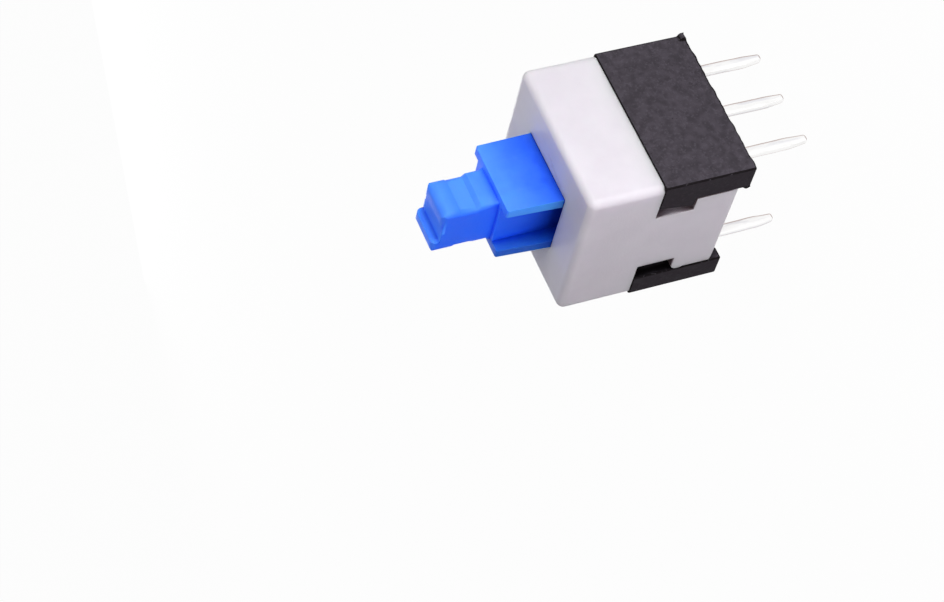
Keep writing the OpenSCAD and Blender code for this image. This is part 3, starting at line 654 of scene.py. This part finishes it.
def moulded_copy(node, name, body, material, width, sharp_deg=30, steps=3, waves=(), rounds=(),
                 clamped=True):
    """A node's shape with every sharp edge rounded.

    Edges whose faces meet at more than sharp_deg are rounded; width(middles) gives each edge's rounding in
    millimetres from its middle point. The faces of the rounding carry 1 in the attribute rim, the others 0.
    Where clamped, the Bevel narrows all roundings until none overlap. Otherwise each keeps its width up to
    EDGE_SHARE of its edge, and no point leaves the node's box. Then come the waves, which are wave_edge's
    values, and the rounds, which are round_off's.
    """
    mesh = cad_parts[node].data.copy()
    mesh.name = name
    shape = whole_faces(mesh)
    weights = shape.edges.layers.float.new("bevel_weight_edge")
    chosen = [e for e in shape.edges if e.calc_face_angle(0) > math.radians(sharp_deg)]
    middles = np.array([(e.verts[0].co + e.verts[1].co) / 2 for e in chosen]) / MM
    for edge, size in zip(chosen, width(middles)):
        widest = math.inf if clamped else EDGE_SHARE * edge.calc_length() / MM
        edge[weights] = min(float(size), widest)
    shape.to_mesh(mesh)
    shape.free()
    piece = place(mesh, name, body, material, [node])
    mesh.materials.append(material)
    rounding = piece.modifiers.new("rounding", "BEVEL")
    rounding.limit_method = "WEIGHT"
    rounding.width = MM
    rounding.segments = steps
    rounding.material = 1
    rounding.use_clamp_overlap = clamped
    rounding.miter_outer = "MITER_ARC"
    settle(piece)
    if waves or rounds:
        shape = bmesh.new()
        shape.from_mesh(piece.data)
        if not clamped:
            low, high = node_size(node)
            move_points(shape, np.clip(points_of(shape), low, high))
        for wave in waves:
            wave_edge(shape, **wave)
        for edge_round in rounds:
            round_off(shape, **edge_round)
        shape.to_mesh(piece.data)
        shape.free()
        piece.data.shade_smooth()
    flats = piece.modifiers.new("flats", "WEIGHTED_NORMAL")
    flats.mode = "FACE_AREA"
    flats.weight = 50
    flats.keep_sharp = False
    return piece


def settle(piece):
    """Applies a piece's modifiers, and turns the second material of its faces into the attribute rim."""
    seen = piece.evaluated_get(bpy.context.evaluated_depsgraph_get())
    mesh = bpy.data.meshes.new_from_object(seen)
    second = np.zeros(len(mesh.polygons), dtype=np.int32)
    mesh.polygons.foreach_get("material_index", second)
    rim = mesh.attributes.new("rim", "FLOAT", "FACE")
    rim.data.foreach_set("value", second.astype(np.float32))
    mesh.polygons.foreach_set("material_index", np.zeros_like(second))
    mesh.materials.pop(index=1)
    mesh.shade_smooth()
    piece.modifiers.clear()
    piece.data = mesh


def housing_rounding(at):
    """Crisp round the front face and the upper plate, soft round the window and the foot of side A."""
    return np.where((at[:, 2] < RIM_BACK) & (at[:, 1] < WINDOW_TOP), 0.15, 0.09)


def plate_rounding(at):
    """The same on every edge of a plate, the frame and the board."""
    return np.full(len(at), 0.08)


def plunger_rounding(at):
    """Thin in the housing, soft on the block and the tip; round_off does the stem between them."""
    on_stem = (at[:, 2] > BLOCK_FRONT + 0.05) & (at[:, 2] < STEM_TIP)
    return np.where(at[:, 2] < IN_THE_HOUSING, 0.04, np.where(on_stem, 0.0, 0.1))


def ragged(x):
    """Offsets of a plate's rear edge, ragged where its gate was torn off: random lines along Y and Z."""
    rise = 0.02 * wander(x, seed=4, waves=4, first=0.9)
    length = 0.035 * wander(x, seed=9, waves=5, first=0.45)
    return np.stack([np.zeros_like(x), rise, length], axis=-1)


housing_low, housing_high = node_size("housing")
moulded_copy("housing", "housing_shell", "case", WHITE, housing_rounding,
             rounds=[dict(low=housing_low, high=housing_high, radius=HOUSING_EDGE_R)])
moulded_copy("rear_board", "rear_board_moulding", "case", WHITE, plate_rounding)
for level, side_y in (("upper", BODY_HALF), ("lower", -BODY_HALF)):
    moulded_copy(level + "_terminal_plate", level + "_plate_moulding", "case", BLACK,
                 plate_rounding, waves=[dict(height=side_y, depth=0, step=WAVE_STEP, shift=ragged)],
                 clamped=False)
moulded_copy("side_frame", "side_frame_moulding", "case", BLACK, plate_rounding)
moulded_copy("plunger", "plunger_moulding", "plunger", BLUE, plunger_rounding,
             rounds=[dict(low=(-STEM_HALF_W, -math.inf, -math.inf), high=(STEM_HALF_W, math.inf, math.inf),
                          radius=STEM_EDGE_R, profile=STEM_PROFILE)])


# ---------------------------------------------------------------- terminals, springs and contacts

PIN_W = 0.55                # width of a pin along X
TIP_W = 0.34                # width at its very end
STRIP_T = 0.3               # thickness of the strip
SHEARED = (0.1, 1, 1, 1)    # how bare each corner of the strip is; the first is the one the shear rolled over
NARROWING = 1.0             # length of the narrowing at the end
ROUND_END = 0.11            # length of the rounding at the very end
CORNER_R = 0.055            # corners of the strip
PIN_ROW_Y = 3.2             # middle of a row of pins
BOARD_BACK = 0.45           # where the pin widens into the blade
JOGGLE = (1.35, 1.75, 3.225, 3.625)   # heights at which a front blade's bends start and end
FREE_LENGTH = 1.5           # length over which a pin becomes free to wander
WANDER_X = 0.012            # how far it wanders along X
WANDER_Y = 0.008            # and along Y
TIP_LEAN = 0.035            # how far the tip leans to -X
WIRE_R = 0.225              # radius of the latch wire
WIRE_BEND = 0.12            # inner radius of its two bends
FREE_LEG = 0.4              # first stretch of the leg that follows the channel
PIVOT_LEG_END = 2.23        # X at which the leg that it turns on ends
COIL_WIRE = 0.2
COIL_TURNS = 9
POINTS_A_TURN = 28
CLOSED_PITCH = 1.1          # rise of a closed turn, in wires


def terminal_sweep(name, middle_x, side, low_z, high_z, blade_w, joggled, seed):
    """A terminal as a round-cornered strip carried along its pin and blade.

    Ring i lies at height z. Its width is the pin's below the board and the blade's above; over NARROWING it
    falls evenly to the tip's, and over ROUND_END it falls on as a quarter circle, in thickness too. The middle
    wanders a little below the seat, as a bent and straightened strip does, and leans at the tip.
    """
    end = ROUND_END
    tip = low_z + end * (1 - np.cos(np.linspace(0.15, math.pi / 2, 7)))
    heights = np.concatenate([
        tip, np.linspace(low_z + end, BOARD_BACK, 60)[1:], [BOARD_BACK + 0.02],
        np.linspace(BOARD_BACK + 0.05, high_z, 70)])
    from_end = heights - low_z
    width = np.where(heights > BOARD_BACK, blade_w, np.interp(from_end, [0, NARROWING], [TIP_W, PIN_W]))
    inset = np.where(from_end < end, end - np.sqrt(np.clip(end ** 2 - (end - from_end) ** 2, 0, None)), 0)
    thick = STRIP_T - 1.1 * inset
    width = width - 2 * inset
    outward = np.interp(heights, JOGGLE, [0, STRIP_T, STRIP_T, 0]) if joggled else np.zeros_like(heights)
    free = np.clip(-heights / FREE_LENGTH, 0, 1)
    drift_x = WANDER_X * free * wander(heights, seed, waves=3, first=0.3)
    drift_y = WANDER_Y * free * wander(heights, seed + 1, waves=3, first=0.25)
    lean = -TIP_LEAN * np.clip((low_z + NARROWING - heights) / NARROWING, 0, 1)
    centres = np.stack([middle_x + drift_x + lean, side * (PIN_ROW_Y + outward) + drift_y, heights], axis=-1)
    outline = np.stack([section(w, t, min(CORNER_R, t / 2.2, w / 2.2)) for w, t in zip(width, thick)])
    across = np.tile([1.0, 0.0, 0.0], (len(heights), 1))
    upward = np.tile([0.0, 1.0, 0.0], (len(heights), 1))
    mesh = tube_mesh(name, carry(outline, centres, across, upward))
    round_a_corner = np.array([0.7, 0.9, 1, 0.9, 0.7])
    at_corner = np.concatenate([share * round_a_corner for share in SHEARED])
    at_tip = np.interp(from_end, [0.04, end], [1, 0])
    sheared = np.maximum(at_corner[None, :], at_tip[:, None])
    carried = mesh.attributes.new("sheared", "FLOAT", "POINT")
    carried.data.foreach_set("value", sheared.ravel().astype(np.float32))
    return mesh


def make_terminals():
    """The six terminals: a joggled front one, a long common one and a short rear one on each plate."""
    names = [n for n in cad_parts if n.endswith("_terminal")]
    for seed, name in enumerate(sorted(names)):
        low, high = node_size(name)
        side = 1 if name.startswith("upper") else -1
        mesh = terminal_sweep(name.replace("terminal", "pin"), (low[0] + high[0]) / 2, side, low[2], high[2],
                              blade_w=high[0] - low[0], joggled="front" in name, seed=20 + 3 * seed)
        place(mesh, mesh.name, "case", TIN, [name])


def turned_wire(centres, tangents, side_axis, radius, sides):
    """Rings of a round wire: circles across the tangents, with side_axis as one of their two axes."""
    angles = np.linspace(0, 2 * np.pi, sides, endpoint=False)
    circle = np.stack([radius * np.cos(angles), radius * np.sin(angles)], axis=-1)
    circles = np.tile(circle, (len(centres), 1, 1))
    upward = np.cross(tangents, side_axis)
    return carry(circles, centres, side_axis, upward / np.linalg.norm(upward, axis=1, keepdims=True))


def make_return_spring():
    """A helix: its angle runs evenly, and its height rises slowly in the closed end turns, evenly between."""
    low, high = node_size("return_spring")
    middle = (low + high) / 2
    radius = (high[0] - low[0] - COIL_WIRE) / 2
    turn = np.linspace(0, COIL_TURNS, COIL_TURNS * POINTS_A_TURN + 1)
    bottom = low[2] + COIL_WIRE / 2
    top = high[2] - COIL_WIRE / 2
    closed = CLOSED_PITCH * COIL_WIRE
    height = np.interp(turn, [0, 1, COIL_TURNS - 1, COIL_TURNS], [bottom, bottom + closed, top - closed, top])
    a = 2 * np.pi * turn
    centres = np.stack([middle[0] + radius * np.cos(a), middle[1] + radius * np.sin(a), height], axis=-1)
    outward = np.stack([np.cos(a), np.sin(a), np.zeros_like(a)], axis=-1)
    tangents = np.gradient(centres, axis=0)
    mesh = tube_mesh("return_spring_coil", turned_wire(centres, tangents, outward, COIL_WIRE / 2, 10))
    coil = place(mesh, mesh.name, "case", STEEL, ["return_spring"])
    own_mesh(coil)


def make_latch_pin():
    """A bent wire in the X and Z plane: free leg, quarter bend, bridge, quarter bend, pivot leg."""
    low, high = node_size("latch_pin")
    bridge_x = high[0] - WIRE_R
    free_z = high[2] - WIRE_R
    pivot_z = low[2] + WIRE_R
    bend = WIRE_R + WIRE_BEND
    quarter = np.linspace(0, np.pi / 2, 9)
    centre_x = bridge_x - bend
    upper = np.stack([centre_x + bend * np.sin(quarter), free_z - bend + bend * np.cos(quarter)], axis=-1)
    lower = np.stack([centre_x + bend * np.cos(quarter), pivot_z + bend - bend * np.sin(quarter)], axis=-1)
    free_leg = [[low[0], free_z], [low[0] + FREE_LEG, free_z]]
    route = np.concatenate([free_leg, upper, lower, [[PIVOT_LEG_END, pivot_z]]])
    centres = np.stack([route[:, 0], np.zeros(len(route)), route[:, 1]], axis=-1)
    side_axis = np.tile([0.0, 1.0, 0.0], (len(route), 1))
    mesh = tube_mesh("latch_wire", turned_wire(centres, np.gradient(centres, axis=0), side_axis, WIRE_R, 20))
    place(mesh, mesh.name, "latch_pin", STEEL, ["latch_pin"])


def sheet_rounding(at):
    """The same on every edge of a leaf."""
    return np.full(len(at), 0.015)


make_terminals()
make_return_spring()
make_latch_pin()
moulded_copy("latch_spring", "latch_leaf", "case", STEEL, sheet_rounding, steps=2)
for side_word in ("upper", "lower"):
    moulded_copy(side_word + "_moving_contact", side_word + "_contact_fingers", "plunger",
                 BRONZE, sheet_rounding, steps=2)


# ---------------------------------------------------------------- floor, light and camera

FLOOR_GREY = (0.82, 0.82, 0.82, 1)    # what the lamps light
FLOOR_WHITE = 0.975                   # share of plain white in what the camera sees of it


def pale_floor():
    """A plain floor at the pins' tips: white as it stands, a little darker where the switch shades it."""
    mesh = bpy.data.meshes.new("floor")
    reach = 3.0
    level = cad_box[0].z
    corners = [(-reach, -reach, level), (reach, -reach, level), (reach, reach, level), (-reach, reach, level)]
    mesh.from_pydata(corners, [], [(0, 1, 2, 3)])
    material = bpy.data.materials.new("pale_floor")
    material.use_nodes = True
    tree = material.node_tree
    tree.nodes.clear()
    out = tree.nodes.new("ShaderNodeOutputMaterial")
    matt = tree.nodes.new("ShaderNodeBsdfDiffuse")
    matt.inputs["Color"].default_value = FLOOR_GREY
    lit = tree.nodes.new("ShaderNodeEmission")
    lit.inputs["Color"].default_value = (1, 1, 1, 1)
    lit.inputs["Strength"].default_value = 1.0
    seen = tree.nodes.new("ShaderNodeLightPath")
    direct = math_node(tree, "MAXIMUM", seen.outputs["Is Camera Ray"], seen.outputs["Is Glossy Ray"])
    share = math_node(tree, "MULTIPLY", direct, FLOOR_WHITE)
    mix = tree.nodes.new("ShaderNodeMixShader")
    tree.links.new(share, mix.inputs["Fac"])
    tree.links.new(matt.outputs[0], mix.inputs[1])
    tree.links.new(lit.outputs[0], mix.inputs[2])
    tree.links.new(mix.outputs[0], out.inputs["Surface"])
    mesh.materials.append(material)
    floor = bpy.data.objects.new("floor", mesh)
    bpy.context.scene.collection.objects.link(floor)


def white_surroundings(strength):
    """Even light from all round; camera and glossy rays see plain white."""
    world = bpy.data.worlds.new("surroundings")
    world.use_nodes = True
    bpy.context.scene.world = world
    tree = world.node_tree
    back = tree.nodes["Background"]
    seen = tree.nodes.new("ShaderNodeLightPath")
    direct = math_node(tree, "MAXIMUM", seen.outputs["Is Camera Ray"], seen.outputs["Is Glossy Ray"])
    level = math_node(tree, "ADD", math_node(tree, "MULTIPLY", direct, 1 - strength), strength)
    back.inputs["Color"].default_value = (1, 1, 1, 1)
    tree.links.new(level, back.inputs["Strength"])


def soft_box(name, towards, distance, size, level, colour=(1, 1, 1)):
    """A square area lamp that lights a facing white surface to that level, aimed at the switch's middle."""
    data = bpy.data.lights.new(name, "AREA")
    data.shape = "SQUARE"
    data.size = size
    data.color = colour
    data.energy = level * math.pi ** 2 * distance ** 2
    lamp = bpy.data.objects.new(name, data)
    direction = Vector(towards).normalized()
    middle = Vector((0, 0, 5 * MM))
    lamp.location = middle + direction * distance
    lamp.rotation_euler = (-direction).to_track_quat("-Z", "Y").to_euler()
    bpy.context.scene.collection.objects.link(lamp)


def main_camera():
    """The camera of the main view. Its right is its look crossed with its up."""
    data = bpy.data.cameras.new("camera")
    data.sensor_width = SENSOR_W
    data.lens = FOCAL_PIXELS * SENSOR_W / IMAGE_W
    data.clip_start = MM
    data.clip_end = 10
    camera = bpy.data.objects.new("camera", data)
    right = CAMERA_LOOK.cross(CAMERA_UP).normalized()
    up = right.cross(CAMERA_LOOK).normalized()
    back = -CAMERA_LOOK.normalized()
    turn = Matrix((right, up, back)).transposed().to_4x4()
    camera.matrix_world = Matrix.Translation(CAMERA_AT) @ turn
    bpy.context.scene.collection.objects.link(camera)
    bpy.context.scene.camera = camera


pale_floor()
white_surroundings(0.16)
soft_box("key_lamp", (0.05, 0.97, 0.0), 0.10, 0.04, 0.80)
soft_box("side_lamp", (0.93, 0.40, -0.08), 0.031, 0.02, 0.30, (1.0, 0.94, 1.02))
soft_box("front_lamp", (0.0, 0.45, 0.85), 0.10, 0.05, 0.19)
soft_box("back_lamp", (-0.7, -0.7, 0.1), 0.14, 0.06, 0.20)
main_camera()
bpy.context.scene.view_settings.view_transform = "Standard"
